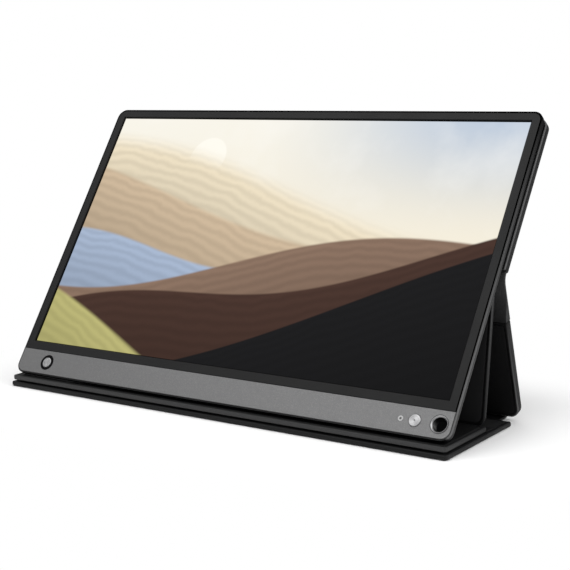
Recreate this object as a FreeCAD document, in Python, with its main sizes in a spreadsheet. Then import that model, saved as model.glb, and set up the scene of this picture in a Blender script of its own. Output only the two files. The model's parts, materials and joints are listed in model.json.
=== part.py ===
import FreeCAD, Part
import math
import os
import Sketcher

V = FreeCAD.Vector

# Driving dimensions: millimetres and degrees
SIZES = {
    # screen body, measured in its own plane from its lower front edge
    "body_depth": "8.4",
    "rim_depth": "6.2",
    "corner_round": "7.0",
    "back_round": "3.0",
    "plateau_inset": "14.0",
    "plateau_round": "6.0",
    "side_wall": "1.6",
    "back_wall": "1.4",
    "rim_recess": "0.2",
    "face_inset": "1.0",
    "face_gap": "0.45",
    "face_depth": "1.4",
    "lean": "34.4",
    # picture and the layers behind it
    "picture_width": "344.2",
    "picture_height": "193.6",
    "picture_low": "25.4",
    "bezel_side": "7.1",
    "bezel_top": "6.6",
    "picture_margin": "2.8",
    "cell_thick": "1.0",
    "film_thick": "0.4",
    "guide_thick": "1.0",
    "mirror_thick": "0.2",
    "tray_thick": "0.6",
    "lamp_height": "1.2",
    "layer_gap": "0.01",
    # bar below the picture and its controls
    "chin_height": "17.9",
    "seam": "0.1",
    "menu_inset": "27.7",
    "lamp_inset": "35.3",
    "power_inset": "25.7",
    "pen_inset": "9.2",
    "menu_ring_radius": "5.75",
    "menu_cap_radius": "3.8",
    "power_cap_radius": "4.0",
    "lamp_radius": "1.7",
    "pen_bore_radius": "4.5",
    "pen_sleeve_radius": "5.2",
    "pen_flange_radius": "6.0",
    "pen_flange_depth": "0.3",
    "pen_chamfer": "0.9",
    "face_edge": "0.3",
    "ring_proud": "0.15",
    "cap_proud": "0.5",
    "cap_length": "2.7",
    "cap_round": "0.5",
    "button_gap": "0.2",
    "button_travel": "0.6",
    "switch_side": "4.0",
    # boards
    "board_thick": "0.8",
    "board_margin": "2.2",
    "io_board_width": "33.0",
    "key_board_width": "26.0",
    "key_board_inset": "30.2",
    "main_board_width": "118.0",
    "main_board_height": "46.0",
    "main_board_inset": "81.2",
    "main_board_low": "26.0",
    "chip_side": "12.0",
    "chip_pitch": "26.0",
    "chip_thick": "0.7",
    "screw_radius": "0.8",
    "screw_head_radius": "1.6",
    "screw_head_thick": "0.45",
    "screw_inset": "4.0",
    "boss_radius": "2.0",
    "flex_thick": "0.15",
    "flex_width": "9.0",
    "display_flex_width": "32.0",
    "display_flex_x": "-70.0",
    "flex_low": "16.5",
    # socket on the left edge
    "port_wide": "9.0",
    "port_tall": "3.2",
    "port_deep": "7.4",
    "port_height": "13.0",
    "port_shell": "0.3",
    "port_round": "1.4",
    "tongue_wide": "6.6",
    "tongue_thick": "0.7",
    "tongue_deep": "4.4",
    # cover panels
    "cover_overhang": "0.8",
    "cover_round": "8.0",
    "base_round": "3.0",
    "edge_wrap": "2.4",
    "lining_thick": "0.6",
    "skin_thick": "0.9",
    "upper_thick": "3.6",
    "upper_margin": "0.9",
    "upper_rim_width": "6.0",
    "leg_thick": "5.6",
    "base_thick": "3.2",
    "base_length": "88.5",
    "flap_thick": "3.4",
    "flap_side_inset": "1.0",
    "brace_thick": "3.0",
    "brace_side_inset": "5.0",
    "bond_thick": "0.2",
    "bond_inset": "30.0",
    "spine_width": "17.5",
    "spine_thick": "1.8",
    "spine_inset": "11.0",
    # folds
    "base_front_y": "-70.56",
    "screen_setback": "4.1",
    "rest_gap": "0.3",
    "crease_height": "111.1",
    "crease_lift": "1.1",
    "crease_roll_radius": "1.0",
    "crease_reach": "4.9",
    "cloth_thick": "1.2",
    "cloth_inset": "1.0",
    "leg_soft": "28.0",
    "hinge_gap": "0.4",
    "foot_roll_radius": "1.7",
    "foot_lift": "0.05",
    "flap_gap": "1.2",
    "flap_setback": "1.0",
    "flap_hinge_run": "56.1",
    "flap_roll_radius": "1.2",
    "brace_drop": "8.9",
    "brace_gap": "3.1",
    "brace_toe": "4.4",
    "brace_lift": "1.8",
    "brace_roll_radius": "1.2",
    "overrun": "1.0",
}

# Places that follow from the driving dimensions
DERIVED = {
    "body_width": "picture_width + 2 * bezel_side",
    "body_height": "picture_low + picture_height + bezel_top",
    "body_half": "body_width / 2",
    "menu_x": "menu_inset - body_half",
    "lamp_x": "body_half - lamp_inset",
    "power_x": "body_half - power_inset",
    "pen_x": "body_half - pen_inset",
    "key_board_x": "body_half - key_board_inset",
    "main_board_x": "-body_half + main_board_inset",
    "cover_width": "body_width + 2 * cover_overhang",
    "flap_width": "cover_width - 2 * flap_side_inset",
    "brace_width": "cover_width - 2 * brace_side_inset",
    "control_height": "face_inset + chin_height / 2",
    "cell_front": "face_depth + seam / 2",
    "film_front": "cell_front + cell_thick + layer_gap",
    "guide_front": "film_front + film_thick + layer_gap",
    "mirror_front": "guide_front + guide_thick + layer_gap",
    "tray_front": "mirror_front + mirror_thick + layer_gap",
    "cell_width": "picture_width + 2 * picture_margin",
    "cell_height": "picture_height + 2 * picture_margin",
    "cell_low": "picture_low - picture_margin",
    "rim_floor": "rim_depth - back_wall",
    "plateau_floor": "body_depth - back_wall",
    "board_front": "rim_floor - seam - board_thick",
    "switch_thick": "board_front - cap_length + cap_proud - button_travel - seam",
    "main_board_front": "plateau_floor - chip_thick - seam - board_thick",
    "bond_front": "body_depth",
    "upper_front": "body_depth + bond_thick + layer_gap",
    "upper_low": "crease_height + crease_reach",
    "upper_height": "body_height - upper_margin - upper_low",
    "base_back_y": "base_front_y + base_length",
    "foot_y": "base_back_y + spine_width",
    "foot_z": "foot_roll_radius + foot_lift",
    "flap_low": "base_thick + flap_gap",
    "flap_top": "flap_low + flap_thick",
    "screen_y": "base_front_y + screen_setback",
    "screen_z": "flap_top + rest_gap + back_round + (rim_depth - back_round) * sin(lean * 1deg)"
                " - back_round * cos(lean * 1deg)",
    "crease_depth": "body_depth + crease_lift",
    "crease_y": "screen_y + crease_height * sin(lean * 1deg) + crease_depth * cos(lean * 1deg)",
    "crease_z": "screen_z + crease_height * cos(lean * 1deg) - crease_depth * sin(lean * 1deg)",
    "leg_turn": "atan2(foot_y - crease_y; crease_z - foot_z)",
    "leg_run": "sqrt((foot_y - crease_y) ^ 2 + (crease_z - foot_z) ^ 2)",
    "leg_low": "-(leg_run - foot_roll_radius - hinge_gap)",
    "flap_axis_y": "base_front_y + flap_hinge_run",
    "flap_axis_z": "base_thick + flap_roll_radius + foot_lift",
    "brace_axis_y": "screen_y + (crease_height - brace_drop) * sin(lean * 1deg)"
                    " + (body_depth + brace_gap) * cos(lean * 1deg)",
    "brace_axis_z": "screen_z + (crease_height - brace_drop) * cos(lean * 1deg)"
                    " - (body_depth + brace_gap) * sin(lean * 1deg)",
    "brace_foot_y": "flap_axis_y + brace_toe",
    "brace_foot_z": "base_thick + brace_lift",
    "brace_turn": "atan2(brace_axis_y - brace_foot_y; brace_axis_z - brace_foot_z)",
    "brace_run": "sqrt((brace_axis_y - brace_foot_y) ^ 2 + (brace_axis_z - brace_foot_z) ^ 2)",
    "brace_in": "(crease_y - brace_axis_y) * cos(leg_turn) + (crease_z - brace_axis_z) * sin(leg_turn)",
    "brace_down": "(crease_z - brace_axis_z) * cos(leg_turn) - (crease_y - brace_axis_y) * sin(leg_turn)",
}

doc = FreeCAD.newDocument("portable_monitor")
sheet = doc.addObject("Spreadsheet::Sheet", "dims")
subparts = []


def fill_sheet():
    """Driving sizes are plain numbers, derived places are formulas on the rows below them."""
    rows = [(alias, value) for alias, value in SIZES.items()]
    rows += [(alias, "=" + formula) for alias, formula in DERIVED.items()]
    for row, (alias, value) in enumerate(rows, 1):
        sheet.set(f"A{row}", alias)
        sheet.set(f"B{row}", value)
        sheet.setAlias(f"B{row}", alias)
    doc.recompute()


def of_sheet(formula):
    """The formula with each alias pointed at the sheet."""
    words = formula.replace("(", " ( ").replace(")", " ) ").replace("-", " - ").split()
    return " ".join("dims." + word if word in SIZES or word in DERIVED else word for word in words)


def bind(thing, sizes):
    """Ties each property of the thing to a formula on the sheet."""
    for name, formula in sizes.items():
        thing.setExpression(name, of_sheet(formula))


# Each frame is the place of its origin across the table and above it, its turn and the axis it turns about
LEFT = V(-1, 0, 0)
RIGHT = V(1, 0, 0)
SCREEN = ("screen_y", "screen_z", "lean", LEFT)
LEG = ("crease_y", "crease_z", "leg_turn", RIGHT)
BASE = ("base_front_y", "base_thick", "90", LEFT)
FLAP = ("flap_axis_y", "flap_low", "90", RIGHT)
BRACE = ("brace_axis_y", "brace_axis_z", "brace_turn", LEFT)
# Tolerance for telling edges apart
TINY = 1e-4


def place(thing, frame):
    """Stands the thing in its frame, turned about the long axis."""
    start_turn = 1
    across, above, turn, axis = frame
    thing.Placement = FreeCAD.Placement(V(), FreeCAD.Rotation(axis, start_turn))
    bind(thing, {"Placement.Base.y": across, "Placement.Base.z": above, "Placement.Rotation.Angle": turn})


def keep(thing):
    """Lists the thing as a sub-part to write out."""
    subparts.append(thing)
    return thing


def new_body(label, frame):
    body = doc.addObject("PartDesign::Body", label)
    body.Label = label
    place(body, frame)
    return keep(body)


def new_sketch(body, role, x, y, front):
    """A sketch on an origin plane of its body, moved across it by x and y and off it to the front."""
    sketch = body.newObject("Sketcher::SketchObject", body.Label + "_outline")
    plane = next(part for part in body.Origin.OriginFeatures if part.Role == role)
    sketch.AttachmentSupport = [(plane, "")]
    sketch.MapMode = "FlatFace"
    off = f"-({front})" if role == "XZ_Plane" else front
    bind(sketch, {"AttachmentOffset.Base.x": x, "AttachmentOffset.Base.y": y,
                  "AttachmentOffset.Base.z": off})
    return sketch


def rectangle(sketch, width, height):
    """A rectangle that stands on the sketch's level axis, centred on its upright one."""
    corners = [V(-1, 0), V(1, 0), V(1, 1), V(-1, 1)]
    for index, corner in enumerate(corners):
        sketch.addGeometry(Part.LineSegment(corner, corners[(index + 1) % 4]))
    for index in range(4):
        sketch.addConstraint(Sketcher.Constraint("Coincident", index, 2, (index + 1) % 4, 1))
    sketch.addConstraint(Sketcher.Constraint("Horizontal", 2))
    sketch.addConstraint(Sketcher.Constraint("Vertical", 1))
    sketch.addConstraint(Sketcher.Constraint("Vertical", 3))
    sketch.addConstraint(Sketcher.Constraint("Symmetric", 0, 1, 0, 2, -2))
    sketch.addConstraint(Sketcher.Constraint("PointOnObject", 0, 1, -1))
    across = sketch.addConstraint(Sketcher.Constraint("DistanceX", 0, 1, 0, 2, 2.0))
    upright = sketch.addConstraint(Sketcher.Constraint("DistanceY", 1, 1, 1, 2, 1.0))
    sketch.renameConstraint(across, "width")
    sketch.renameConstraint(upright, "height")
    bind(sketch, {"Constraints.width": width, "Constraints.height": height})


def rounded_rectangle(sketch, width, height, corner):
    """The same rectangle with its four corners rounded alike."""
    wide, tall, turn = (sketch.evalExpression(of_sheet(size)) for size in (width, height, corner))
    wide, tall, turn = (float(getattr(size, "Value", size)) for size in (wide, tall, turn))
    right = wide / 2
    inner = right - turn
    top = tall - turn
    lines = [(V(-inner, 0), V(inner, 0)), (V(right, turn), V(right, top)), (V(inner, tall), V(-inner, tall)),
             (V(-right, top), V(-right, turn))]
    for start, end in lines:
        sketch.addGeometry(Part.LineSegment(start, end))
    quarter = math.pi / 2
    centres = [V(inner, turn), V(inner, top), V(-inner, top), V(-inner, turn)]
    for index, centre in enumerate(centres):
        start = quarter * (index - 1)
        sketch.addGeometry(Part.ArcOfCircle(Part.Circle(centre, V(0, 0, 1), turn), start, start + quarter))
    for index in range(4):
        sketch.addConstraint(Sketcher.Constraint("Tangent", index, 2, index + 4, 1))
        sketch.addConstraint(Sketcher.Constraint("Tangent", index + 4, 2, (index + 1) % 4, 1))
    for index in range(4, 7):
        sketch.addConstraint(Sketcher.Constraint("Equal", index, index + 1))
    sketch.addConstraint(Sketcher.Constraint("Horizontal", 2))
    sketch.addConstraint(Sketcher.Constraint("Vertical", 1))
    sketch.addConstraint(Sketcher.Constraint("Vertical", 3))
    sketch.addConstraint(Sketcher.Constraint("Symmetric", 0, 1, 0, 2, -2))
    sketch.addConstraint(Sketcher.Constraint("PointOnObject", 0, 1, -1))
    sizes = [("width", Sketcher.Constraint("DistanceX", 3, 1, 1, 1, wide), width),
             ("height", Sketcher.Constraint("DistanceY", 0, 1, 2, 1, tall), height),
             ("corner", Sketcher.Constraint("Radius", 4, turn), corner)]
    for name, constraint, formula in sizes:
        sketch.renameConstraint(sketch.addConstraint(constraint), name)
        bind(sketch, {"Constraints." + name: formula})


def outline(sketch, width, height, corner):
    """A rectangle, rounded where a corner size is given."""
    if corner:
        rounded_rectangle(sketch, width, height, corner)
    else:
        rectangle(sketch, width, height)


def circle(sketch, radius):
    """A circle about the sketch's origin."""
    sketch.addGeometry(Part.Circle(V(), V(0, 0, 1), 1.0))
    sketch.addConstraint(Sketcher.Constraint("Coincident", 0, 3, -1, 1))
    size = sketch.addConstraint(Sketcher.Constraint("Radius", 0, 1.0))
    sketch.renameConstraint(size, "radius")
    bind(sketch, {"Constraints.radius": radius})


def grow(body, sketch, length):
    """Adds material from the sketch towards the back, or to the right on the side plane."""
    pad = body.newObject("PartDesign::Pad", body.Label + "_pad")
    pad.Profile = sketch
    pad.Reversed = sketch.AttachmentSupport[0][0].Role == "XZ_Plane"
    bind(pad, {"Length": length})
    doc.recompute()
    return pad


def cut(body, sketch, length):
    """Takes material away from the sketch towards the back, or to the left on the side plane."""
    before = body.Shape.Volume
    pocket = body.newObject("PartDesign::Pocket", body.Label + "_pocket")
    pocket.Profile = sketch
    bind(pocket, {"Length": length})
    doc.recompute()
    if body.Shape.Volume >= before:
        raise RuntimeError(f"{body.Label}: a cut took nothing away")
    return pocket


def round_edges(body, chosen, radius):
    """Rounds the edges that the test picks out of the body's present shape."""
    tip = body.Tip
    names = [f"Edge{index}" for index, edge in enumerate(tip.Shape.Edges, 1) if chosen(edge)]
    fillet = body.newObject("PartDesign::Fillet", body.Label + "_round")
    fillet.Base = (tip, names)
    bind(fillet, {"Radius": radius})
    doc.recompute()
    return fillet


def bevel_edges(body, chosen, size):
    """Bevels the edges that the test picks out of the body's present shape."""
    tip = body.Tip
    names = [f"Edge{index}" for index, edge in enumerate(tip.Shape.Edges, 1) if chosen(edge)]
    chamfer = body.newObject("PartDesign::Chamfer", body.Label + "_bevel")
    chamfer.Base = (tip, names)
    bind(chamfer, {"Size": size})
    doc.recompute()
    return chamfer


def runs_back(edge):
    """True for a straight edge square to the panel's face."""
    box = edge.BoundBox
    return box.XLength < TINY and box.ZLength < TINY


def lies_at(level):
    """A test for edges that lie wholly at one depth."""
    return lambda edge: max(abs(edge.BoundBox.YMin - level), abs(edge.BoundBox.YMax - level)) < TINY


def value(alias):
    """A cell's number, without its unit."""
    cell = sheet.get(alias)
    return float(getattr(cell, "Value", cell))


def slab(label, frame, width, height, front, thick, x="0", low="0", corner=None):
    """A flat piece: centred on x, standing on low, from its front face back by its thickness."""
    body = new_body(label, frame)
    sketch = new_sketch(body, "XZ_Plane", x, low, front)
    outline(sketch, width, height, corner)
    grow(body, sketch, thick)
    return body


def cavity(body, width, height, front, depth, x="0", low="0", corner=None):
    """A flat-bottomed recess from the front depth backwards, with rounded corners where a size is given."""
    sketch = new_sketch(body, "XZ_Plane", x, low, front)
    outline(sketch, width, height, corner)
    cut(body, sketch, depth)


def disc(body, radius, x, height, front, thick):
    """A round boss on the face, from its front depth back by its thickness."""
    sketch = new_sketch(body, "XZ_Plane", x, height, front)
    circle(sketch, radius)
    return grow(body, sketch, thick)


def bore(body, radius, x, height, front, depth):
    """A round hole from the front depth backwards."""
    sketch = new_sketch(body, "XZ_Plane", x, height, front)
    circle(sketch, radius)
    return cut(body, sketch, depth)


def box(label, width, thick, height, x, front, low):
    """A block that stands on low, centred on x, from its front face back by its thickness."""
    block = doc.addObject("Part::Box", label)
    bind(block, {"Length": width, "Width": thick, "Height": height,
                 "Placement.Base.x": f"{x} - ({width}) / 2", "Placement.Base.y": front,
                 "Placement.Base.z": low})
    return block


def rod(label, radius, length, x, front, height):
    """A round rod that runs back from its front end."""
    quarter_turn = -90
    pin = doc.addObject("Part::Cylinder", label)
    pin.Placement = FreeCAD.Placement(V(), FreeCAD.Rotation(V(1, 0, 0), quarter_turn))
    bind(pin, {"Radius": radius, "Height": length, "Placement.Base.x": x, "Placement.Base.y": front,
               "Placement.Base.z": height})
    return pin


def roll(label, radius, length, across, above):
    """A round welt along a fold's axis."""
    quarter_turn = 90
    bead = doc.addObject("Part::Cylinder", label)
    bead.Label = label
    bead.Placement = FreeCAD.Placement(V(), FreeCAD.Rotation(V(0, 1, 0), quarter_turn))
    bind(bead, {"Radius": radius, "Height": length, "Placement.Base.x": f"-({length}) / 2",
                "Placement.Base.y": across, "Placement.Base.z": above})
    return keep(bead)


def group(label, pieces, frame):
    """Like pieces kept together as one sub-part."""
    whole = doc.addObject("Part::Compound", label)
    whole.Label = label
    whole.Links = pieces
    place(whole, frame)
    return keep(whole)


def rear_housing():
    """A shallow tray with a rounded back edge and a raised plateau, open towards the picture."""
    body = slab("rear_housing", SCREEN, "body_width", "body_height", "rim_recess", "rim_depth - rim_recess",
                corner="corner_round")
    round_edges(body, lies_at(value("rim_depth")), "back_round")
    round_edges(body, lies_at(value("rim_recess")), "face_edge")
    sketch = new_sketch(body, "XZ_Plane", "0", "plateau_inset", "rim_depth - back_wall")
    outline(sketch, "body_width - 2 * plateau_inset", "body_height - 2 * plateau_inset", "plateau_round")
    grow(body, sketch, "body_depth - rim_depth + back_wall")
    cavity(body, "body_width - 2 * face_inset + 2 * face_gap", "body_height - 2 * face_inset + 2 * face_gap",
           "0", "face_depth + seam / 2", low="face_inset - face_gap",
           corner="corner_round - face_inset + face_gap")
    cavity(body, "body_width - 2 * side_wall", "body_height - 2 * side_wall", "face_depth",
           "rim_floor - face_depth", low="side_wall", corner="corner_round - side_wall")
    cavity(body, "body_width - 2 * plateau_inset - 2 * side_wall",
           "body_height - 2 * plateau_inset - 2 * side_wall", "rim_floor", "plateau_floor - rim_floor",
           low="plateau_inset + side_wall", corner="plateau_round - side_wall")
    for x, height in screw_places():
        disc(body, "boss_radius", x, height, "main_board_front + board_thick",
             "chip_thick + seam + back_wall / 2")
        bore(body, "screw_radius", x, height, "main_board_front + board_thick", "chip_thick + seam")
    bore(body, "pen_sleeve_radius + seam / 2", "pen_x", "control_height", "0", "body_depth + overrun")
    mouth = new_sketch(body, "YZ_Plane", "board_front - port_tall / 2 + board_thick",
                       "port_height - port_wide / 2 - seam / 2", "side_wall + overrun - body_half")
    rectangle(mouth, "port_tall + seam", "port_wide + seam")
    cut(body, mouth, "side_wall + 2 * overrun")


def screw_places():
    """The main board's four fixing points."""
    left = "main_board_x - main_board_width / 2 + screw_inset"
    right = "main_board_x + main_board_width / 2 - screw_inset"
    lower = "main_board_low + screw_inset"
    upper = "main_board_low + main_board_height - screw_inset"
    return [(x, height) for x in (left, right) for height in (lower, upper)]


def front_faces():
    """The black frame round the picture and the metal bar below it."""
    frame_low = "face_inset + chin_height + seam"
    frame = slab("bezel_frame", SCREEN, "body_width - 2 * face_inset",
                 "body_height - 2 * face_inset - chin_height - seam", "0", "face_depth", low=frame_low)
    top = value("body_height") - value("face_inset")
    round_edges(frame, lambda edge: runs_back(edge) and edge.BoundBox.ZMax > top - value("seam"),
                "corner_round - face_inset")
    cavity(frame, "picture_width", "picture_height", "0", "face_depth + overrun", low="picture_low")
    bevel_edges(frame, lies_at(0), "face_edge")
    bar = slab("chin_bar", SCREEN, "body_width - 2 * face_inset", "chin_height", "0", "face_depth",
               low="face_inset")
    foot = value("face_inset")
    round_edges(bar, lambda edge: runs_back(edge) and edge.BoundBox.ZMin < foot + value("seam"),
                "corner_round - face_inset")
    round_edges(bar, lies_at(0), "face_edge")
    holes = [("menu_x", "menu_ring_radius + seam"), ("lamp_x", "lamp_radius + seam"),
             ("power_x", "power_cap_radius + button_gap"), ("pen_x", "pen_sleeve_radius + seam / 2")]
    for x, radius in holes:
        bore(bar, radius, x, "control_height", "0", "face_depth + overrun")


def picture_layers():
    """The liquid crystal cell, film, light guide, mirror and metal tray, one behind another."""
    layers = [("lcd_cell", "cell_front", "cell_thick"), ("diffuser_film", "film_front", "film_thick"),
              ("light_guide", "guide_front", "guide_thick"),
              ("mirror_sheet", "mirror_front", "mirror_thick"), ("panel_tray", "tray_front", "tray_thick")]
    for label, front, thick in layers:
        height, low = "cell_height", "cell_low"
        if label == "light_guide":
            height, low = "cell_height - lamp_height - seam", "cell_low + lamp_height + seam"
        slab(label, SCREEN, "cell_width", height, front, thick, low=low)
    slab("lamp_strip", SCREEN, "cell_width", "lamp_height", "guide_front", "guide_thick", low="cell_low")


def button(label, radius, x):
    """A cap with a softened front edge."""
    body = new_body(label, SCREEN)
    disc(body, radius, x, "control_height", "-cap_proud", "cap_length")
    round_edges(body, lies_at(-value("cap_proud")), "cap_round")


def controls():
    """Two push buttons, the ring round one of them, the lamp's light pipe and the pen's bush."""
    ring = new_body("menu_button_ring", SCREEN)
    disc(ring, "menu_ring_radius", "menu_x", "control_height", "-ring_proud", "face_depth + ring_proud")
    bore(ring, "menu_cap_radius + button_gap", "menu_x", "control_height", "-ring_proud",
         "face_depth + ring_proud")
    button("menu_button_cap", "menu_cap_radius", "menu_x")
    button("power_button_cap", "power_cap_radius", "power_x")
    pipe = new_body("lamp_light_pipe", SCREEN)
    disc(pipe, "lamp_radius", "lamp_x", "control_height", "-ring_proud", "cap_length")
    bush = new_body("pen_bush", SCREEN)
    disc(bush, "pen_flange_radius", "pen_x", "control_height", "-pen_flange_depth", "pen_flange_depth")
    bush_length = "pen_flange_depth + rim_depth"
    disc(bush, "pen_sleeve_radius", "pen_x", "control_height", "-pen_flange_depth", bush_length)
    bore(bush, "pen_bore_radius", "pen_x", "control_height", "-pen_flange_depth", bush_length)
    mouth = value("pen_bore_radius") + TINY
    front = lies_at(-value("pen_flange_depth"))
    bevel_edges(bush, lambda edge: front(edge) and edge.BoundBox.XLength / 2 < mouth, "pen_chamfer")


def boards():
    """The socket's board, the keys' board and the main board with its chips, screws and flat cables."""
    height = "chin_height - 2 * board_margin"
    low = "face_inset + board_margin"
    io_x = "-body_half + side_wall + port_deep + seam + io_board_width / 2"
    slab("io_board", SCREEN, "io_board_width", height, "board_front", "board_thick", x=io_x, low=low)
    slab("key_board", SCREEN, "key_board_width", height, "board_front", "board_thick", x="key_board_x",
         low=low)
    main = slab("main_board", SCREEN, "main_board_width", "main_board_height", "main_board_front",
                "board_thick", x="main_board_x", low="main_board_low")
    for x, up in screw_places():
        bore(main, "screw_radius + seam", x, up, "main_board_front", "board_thick")
    key_low = "control_height - switch_side / 2"
    switches = [box(f"switch_{name}", "switch_side", "switch_thick", "switch_side", x,
                    "board_front - switch_thick", key_low)
                for name, x in (("menu", "menu_x"), ("power", "power_x"))]
    group("key_switches", switches, SCREEN)
    chip_count = 4
    chip_front = "main_board_front + board_thick"
    chip_low = "main_board_low + main_board_height / 2 - chip_side / 2"
    chips = [box(f"chip_{index}", "chip_side", "chip_thick", "chip_side",
                 f"main_board_x + chip_pitch * {index - (chip_count - 1) / 2}", chip_front, chip_low)
             for index in range(chip_count)]
    group("board_chips", chips, SCREEN)
    screws = []
    for index, (x, up) in enumerate(screw_places()):
        head = rod(f"head_{index}", "screw_head_radius", "screw_head_thick", x,
                   "main_board_front - screw_head_thick", up)
        shank = rod(f"shank_{index}", "screw_radius", "board_thick + chip_thick + seam", x,
                    "main_board_front", up)
        screw = doc.addObject("Part::Fuse", f"screw_{index}")
        screw.Base = head
        screw.Tool = shank
        screws.append(screw)
    group("board_screws", screws, SCREEN)
    flat_front = "main_board_front - seam - flex_thick"
    reach = "main_board_low + screw_inset - flex_low"
    slab("display_flex", SCREEN, "display_flex_width", "main_board_low + flex_width - cell_low", flat_front,
         "flex_thick", x="display_flex_x", low="cell_low")
    slab("io_flex", SCREEN, "flex_width", reach + " + flex_width", flat_front, "flex_thick",
         x="main_board_x - main_board_width / 2 + 2 * screw_inset + flex_width / 2", low="flex_low")
    level = "main_board_low + 2 * screw_inset"
    ribbon = slab("key_flex", SCREEN, "key_board_x - main_board_x - main_board_width / 2 + flex_width",
                  "flex_width", flat_front, "flex_thick",
                  x="(key_board_x + main_board_x + main_board_width / 2) / 2", low=level)
    drop = new_sketch(ribbon, "XZ_Plane", "key_board_x", "flex_low", flat_front)
    rectangle(drop, "flex_width", f"{level} - flex_low + flex_width / 2")
    grow(ribbon, drop, "flex_thick")


def socket():
    """An oblong metal shell with a tongue, set in the left edge."""
    body = new_body("usb_socket", SCREEN)
    across = "board_front - port_tall / 2 + board_thick"
    mouth = "rim_recess - body_half"
    outer = new_sketch(body, "YZ_Plane", across, "port_height - port_wide / 2", mouth)
    rectangle(outer, "port_tall", "port_wide")
    grow(body, outer, "port_deep")
    along = lambda edge: edge.BoundBox.YLength < TINY and edge.BoundBox.ZLength < TINY
    round_edges(body, along, "port_round")
    inner = new_sketch(body, "YZ_Plane", across, "port_height - port_wide / 2 + port_shell",
                       f"{mouth} + port_deep - port_shell")
    rectangle(inner, "port_tall - 2 * port_shell", "port_wide - 2 * port_shell")
    cut(body, inner, "port_deep")
    tongue = new_sketch(body, "YZ_Plane", across, "port_height - tongue_wide / 2",
                        f"{mouth} + port_deep - port_shell - tongue_deep")
    rectangle(tongue, "tongue_thick", "tongue_wide")
    grow(body, tongue, "tongue_deep + port_shell / 2")


def panel(name, frame, width, height, front, thick, low="0", corner="cover_round"):
    """A cover panel: a skin wrapped round a stiff board, closed on the inner side by a lining."""
    skin = slab(name + "_skin", frame, width, height, front, thick, low=low, corner=corner)
    inner_width = f"{width} - 2 * edge_wrap"
    inner_height = f"{height} - 2 * edge_wrap"
    inner_low = f"{low} + edge_wrap"
    inner_corner = f"{corner} - edge_wrap"
    cavity(skin, inner_width, inner_height, front, f"{thick} - skin_thick", low=inner_low,
           corner=inner_corner)
    slab(name + "_lining", frame, inner_width, inner_height, front, "lining_thick", low=inner_low,
         corner=inner_corner)
    slab(name + "_board", frame, inner_width, inner_height, f"{front} + lining_thick",
         f"{thick} - skin_thick - lining_thick", low=inner_low, corner=inner_corner)


def cover():
    """Upper panel with its rim, leg, base with its spine, flap, brace and the folds between them."""
    panel("upper", SCREEN, "cover_width", "upper_height", "upper_front", "upper_thick", low="upper_low")
    rim = slab("upper_rim", SCREEN, "cover_width", "upper_height", "rim_depth + layer_gap",
               "upper_front - rim_depth - 2 * layer_gap", low="upper_low", corner="cover_round")
    cavity(rim, "cover_width - 2 * upper_rim_width", "upper_height", "rim_depth", "upper_front - rim_depth",
           low="upper_low - upper_rim_width", corner="cover_round - upper_rim_width")
    slab("bond_sheet", SCREEN, "cover_width - 2 * bond_inset", "upper_height - bond_inset", "bond_front",
         "bond_thick", low="upper_low + bond_inset / 2 - crease_reach")
    fold_width = "cover_width - 2 * cloth_inset"
    slab("upper_fold_cloth", SCREEN, fold_width, "crease_reach - crease_roll_radius - hinge_gap",
         "crease_depth - cloth_thick / 2", "cloth_thick",
         low="crease_height + crease_roll_radius + hinge_gap")
    roll("crease_roll", "crease_roll_radius", fold_width, "crease_y", "crease_z")
    panel("leg", LEG, "cover_width", "-leg_low - leg_soft", "cloth_thick / 2 - leg_thick", "leg_thick",
          low="leg_low")
    slab("leg_fold_cloth", LEG, fold_width, "leg_soft - crease_roll_radius - hinge_gap", "-cloth_thick / 2",
         "cloth_thick", low="-leg_soft")
    panel("base", BASE, "cover_width", "base_length", "0", "base_thick", corner="base_round")
    slab("spine_strip", BASE, "cover_width - 2 * spine_inset", "spine_width - foot_roll_radius - hinge_gap",
         "base_thick - spine_thick", "spine_thick", low="base_length")
    roll("foot_roll", "foot_roll_radius", "cover_width - 2 * spine_inset", "foot_y", "foot_z")
    panel("flap", FLAP, "flap_width", "flap_hinge_run - flap_setback - flap_roll_radius - hinge_gap", "0",
          "flap_thick", low="flap_roll_radius + hinge_gap", corner="base_round")
    roll("flap_roll", "flap_roll_radius", "flap_width - 2 * cloth_inset", "flap_axis_y", "flap_axis_z")
    panel("brace", BRACE, "brace_width", "brace_run - brace_roll_radius - hinge_gap", "-brace_thick / 2",
          "brace_thick", low="-brace_run")
    roll("brace_roll", "brace_roll_radius", "brace_width - 2 * cloth_inset", "brace_axis_y", "brace_axis_z")
    slab("brace_tab", LEG, "brace_width - 2 * cloth_inset", "cloth_thick",
         "-brace_in + brace_roll_radius + seam", "brace_in - brace_roll_radius - seam - cloth_thick / 2",
         low="-brace_down - cloth_thick / 2")


def write_parts():
    """Checks every object and writes one file for each sub-part."""
    doc.recompute()
    for thing in doc.Objects:
        if "Invalid" in thing.State or "Error" in thing.State:
            raise RuntimeError(f"{thing.Label}: {thing.getStatusString()}")
    for thing in subparts:
        if thing.Shape.isNull() or not thing.Shape.isValid():
            raise RuntimeError(f"{thing.Label}: the shape is not sound")
    os.makedirs("parts", exist_ok=True)
    for thing in subparts:
        thing.Shape.exportStep(f"parts/{thing.Label}.step")
        print(thing.Label, len(thing.Shape.Solids), round(thing.Shape.Volume, 1))


fill_sheet()
rear_housing()
front_faces()
picture_layers()
controls()
boards()
socket()
cover()
write_parts()
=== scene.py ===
"""Looks for a portable monitor in a folding leatherette cover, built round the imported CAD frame."""

import json
import math

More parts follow.
